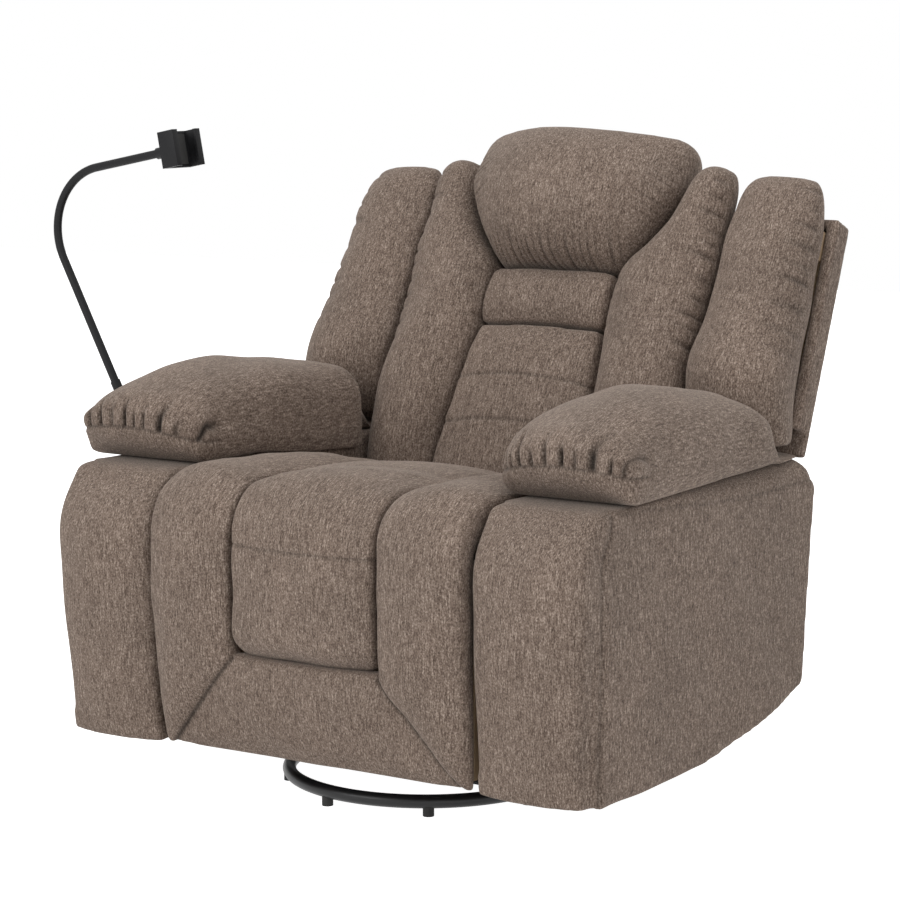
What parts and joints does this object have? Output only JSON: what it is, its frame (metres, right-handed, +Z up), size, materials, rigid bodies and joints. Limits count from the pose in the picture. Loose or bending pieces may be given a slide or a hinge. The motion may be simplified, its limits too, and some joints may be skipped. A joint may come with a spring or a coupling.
{
  "type": "swivel rocker recliner",
  "caption": "Upholstered armchair on a ring base that swivels, rocks and reclines, with a lifting footrest and a gooseneck phone clamp.",
  "frame": {"origin": "on the swivel axis at the floor", "axes": "+Z up along the swivel axis, -Y the way the chair faces, +X the sitter's left"},
  "size_m": [1.2199, 0.9633, 1.0574],
  "materials": {
    "upholstery": "matte chenille",
    "black_steel": "semi-gloss powder coat",
    "bare_steel": "zinc plated",
    "timber": "sawn",
    "black_plastic": "satin",
    "black_rubber": "matte"
  },
  "bodies": {
    "ring_base": {"base_ring": "black_steel", "base_feet": "black_rubber", "base_bars": "black_steel", "swivel_lower_plate": "black_steel", "swivel_bearing": "bare_steel", "swivel_bolt": "bare_steel", "base_bolts": "bare_steel"},
    "swivel_platform": {"swivel_upper_plate": "black_steel", "platform_crossers": "black_steel", "rocker_rails": "black_steel", "platform_bolts": "bare_steel", "rocker_springs": "bare_steel"},
    "chair_frame": {"rocker_cams": "timber", "side_plates": "black_steel", "cross_tube": "black_steel", "seat_rails": "timber", "rear_skirt": "upholstery", "seat_springs": "bare_steel", "seat_channel_left": "upholstery", "seat_channel_right": "upholstery", "seat_centre": "upholstery", "arm_front_pad_left": "upholstery", "arm_front_pad_right": "upholstery", "arm_pillow_left": "upholstery", "arm_pillow_right": "upholstery", "arm_cover_left": "upholstery", "arm_cover_right": "upholstery", "arm_frame_left": "timber", "arm_frame_right": "timber", "lever_bezel": "black_plastic", "neck_socket": "black_plastic"},
    "back": {"back_posts": "timber", "back_rails": "timber", "back_brackets": "bare_steel", "rear_shell": "upholstery", "lumbar_lower": "upholstery", "lumbar_upper": "upholstery", "head_pillow": "upholstery", "bolster_left": "upholstery", "bolster_right": "upholstery", "wing_left": "upholstery", "wing_right": "upholstery"},
    "footrest": {"footrest_board": "timber", "footrest_brackets": "bare_steel", "footrest_channel_left": "upholstery", "footrest_channel_right": "upholstery", "footrest_centre": "upholstery", "footrest_lower_panel": "upholstery"},
    "drive_cranks": {"drive_tube": "bare_steel", "drive_cranks": "bare_steel"},
    "rear_cranks": {"rear_cranks": "bare_steel"},
    "upper_couplers": {"upper_couplers": "bare_steel"},
    "lower_couplers": {"lower_couplers": "bare_steel"},
    "release_lever": {"release_lever": "black_plastic", "lever_shaft": "bare_steel"},
    "gooseneck": {"gooseneck": "black_plastic", "neck_ferrule": "black_plastic"},
    "phone_clamp": {"clamp_body": "black_plastic", "clamp_pad": "black_rubber"},
    "clamp_jaw": {"clamp_jaw": "black_plastic"}
  },
  "joints": [
    {"name": "swivel", "type": "hinge", "parent": "ring_base", "child": "swivel_platform", "pos_m": [0, 0, 0.048], "axis": [0, 0, 1], "continuous": true},
    {"name": "rock", "type": "hinge", "parent": "swivel_platform", "child": "chair_frame", "pos_m": [0, 0, 0.48], "axis": [1, 0, 0], "range_deg": [-8, 8], "stiffness_Nm_per_rad": 250, "deforming": ["rocker_springs"]},
    {"name": "recline", "type": "hinge", "parent": "chair_frame", "child": "back", "pos_m": [0, 0.33, 0.3], "axis": [-1, 0, 0], "range_deg": [0, 42]},
    {"name": "footrest_lift", "type": "hinge", "parent": "chair_frame", "child": "footrest", "pos_m": [0, -0.34037, 0.51037], "axis": [-1, 0, 0], "range_deg": [0, 88]},
    {"name": "drive_crank_turn", "type": "hinge", "parent": "chair_frame", "child": "drive_cranks", "pos_m": [0, -0.14487, 0.34978], "axis": [-1, 0, 0], "range_deg": [0, 88]},
    {"name": "rear_crank_turn", "type": "hinge", "parent": "chair_frame", "child": "rear_cranks", "pos_m": [0, -0.07918, 0.29583], "axis": [-1, 0, 0], "range_deg": [0, 88]},
    {"name": "upper_coupler_turn", "type": "hinge", "parent": "footrest", "child": "upper_couplers", "pos_m": [0, -0.27213, 0.36234], "axis": [-1, 0, 0], "range_deg": [-88, 0]},
    {"name": "lower_coupler_turn", "type": "hinge", "parent": "footrest", "child": "lower_couplers", "pos_m": [0, -0.24198, 0.29695], "axis": [-1, 0, 0], "range_deg": [-88, 0]},
    {"name": "lever_pull", "type": "hinge", "parent": "chair_frame", "child": "release_lever", "pos_m": [-0.494, 0.06, 0.3], "axis": [-1, 0, 0], "range_deg": [0, 45], "stiffness_Nm_per_rad": 2},
    {"name": "neck_turn", "type": "hinge", "parent": "chair_frame", "child": "gooseneck", "pos_m": [-0.504, -0.088, 0.5], "axis": [-0.4695, 0, 0.8829], "range_deg": [-60, 60]},
    {"name": "clamp_turn", "type": "hinge", "parent": "gooseneck", "child": "phone_clamp", "pos_m": [-0.4521, -0.088, 1.0196], "axis": [0.9816, 0, 0.1908], "range_deg": [-90, 90]},
    {"name": "jaw_slide", "type": "slide", "parent": "phone_clamp", "child": "clamp_jaw", "axis": [0, -1, 0], "range_m": [0, 0.03], "stiffness_N_per_m": 200, "springref_m": -0.005}
  ],
  "couplings": [
    {"joint": "drive_crank_turn", "follows": "footrest_lift", "ratio": 1},
    {"joint": "rear_crank_turn", "follows": "footrest_lift", "ratio": 1},
    {"joint": "upper_coupler_turn", "follows": "footrest_lift", "ratio": -1},
    {"joint": "lower_coupler_turn", "follows": "footrest_lift", "ratio": -1}
  ]
}
